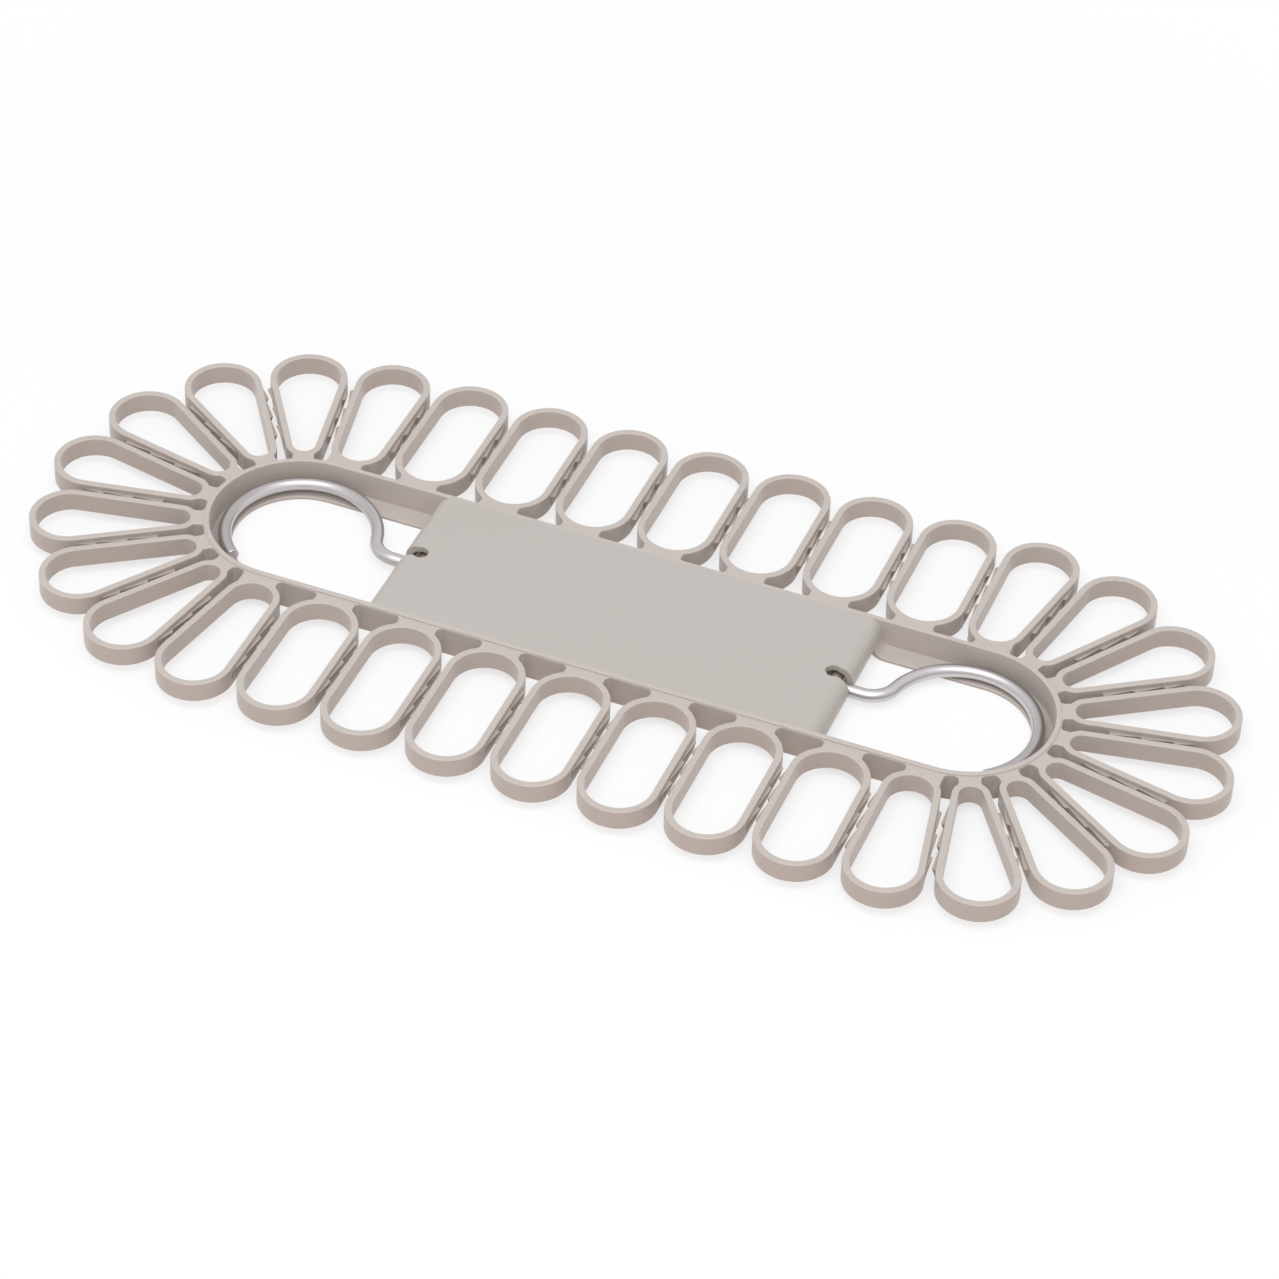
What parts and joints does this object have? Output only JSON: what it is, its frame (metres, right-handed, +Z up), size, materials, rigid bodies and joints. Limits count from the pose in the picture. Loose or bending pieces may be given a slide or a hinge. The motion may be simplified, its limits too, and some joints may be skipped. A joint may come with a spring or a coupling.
{
  "type": "clip drying rack",
  "caption": "Oval drying rack with a comb of toothed hairpin loops that pinch clothes between them, and two wire hooks that fold flat into its frame.",
  "frame": {"origin": "under the middle of the rack, at the height of the rail's bottom edge", "axes": "+X along the rack, +Y toward the side that the hooks bulge to, +Z up, away from the surface that the rack lies on"},
  "size_m": [0.3646, 0.1586, 0.0098],
  "materials": {
    "rack_plastic": "warm grey moulded polypropylene with a fine satin grain",
    "hook_steel": "bare drawn steel wire, satin, with faint drawing lines along it"
  },
  "bodies": {
    "rack": {"front_rail": "rack_plastic", "rear_rail": "rack_plastic", "left_rail_end": "rack_plastic", "right_rail_end": "rack_plastic", "left_ledge": "rack_plastic", "right_ledge": "rack_plastic", "centre_plate": "rack_plastic", "left_plate_rib": "rack_plastic", "middle_plate_rib": "rack_plastic", "right_plate_rib": "rack_plastic", "left_hook_clip": "rack_plastic", "right_hook_clip": "rack_plastic", "front_loop_1": "rack_plastic", "front_loop_2": "rack_plastic", "front_loop_3": "rack_plastic", "front_loop_4": "rack_plastic", "front_loop_5": "rack_plastic", "front_loop_6": "rack_plastic", "front_loop_7": "rack_plastic", "front_loop_8": "rack_plastic", "front_loop_9": "rack_plastic", "rear_loop_1": "rack_plastic", "rear_loop_2": "rack_plastic", "rear_loop_3": "rack_plastic", "rear_loop_4": "rack_plastic", "rear_loop_5": "rack_plastic", "rear_loop_6": "rack_plastic", "rear_loop_7": "rack_plastic", "rear_loop_8": "rack_plastic", "rear_loop_9": "rack_plastic", "left_loop_1": "rack_plastic", "left_loop_2": "rack_plastic", "left_loop_3": "rack_plastic", "left_loop_4": "rack_plastic", "left_loop_5": "rack_plastic", "left_loop_6": "rack_plastic", "left_loop_7": "rack_plastic", "right_loop_1": "rack_plastic", "right_loop_2": "rack_plastic", "right_loop_3": "rack_plastic", "right_loop_4": "rack_plastic", "right_loop_5": "rack_plastic", "right_loop_6": "rack_plastic", "right_loop_7": "rack_plastic"},
    "left_hook_wire": {"left_hook": "hook_steel"},
    "right_hook_wire": {"right_hook": "hook_steel"}
  },
  "joints": [
    {"name": "left_hook_fold", "type": "hinge", "parent": "rack", "child": "left_hook_wire", "pos_m": [-0.06418, 0, 0.004], "axis": [0, 1, 0], "range_deg": [-1.07, 89.5]},
    {"name": "right_hook_fold", "type": "hinge", "parent": "rack", "child": "right_hook_wire", "pos_m": [0.06418, 0, 0.004], "axis": [0, -1, 0], "range_deg": [0, 90.57]}
  ]
}
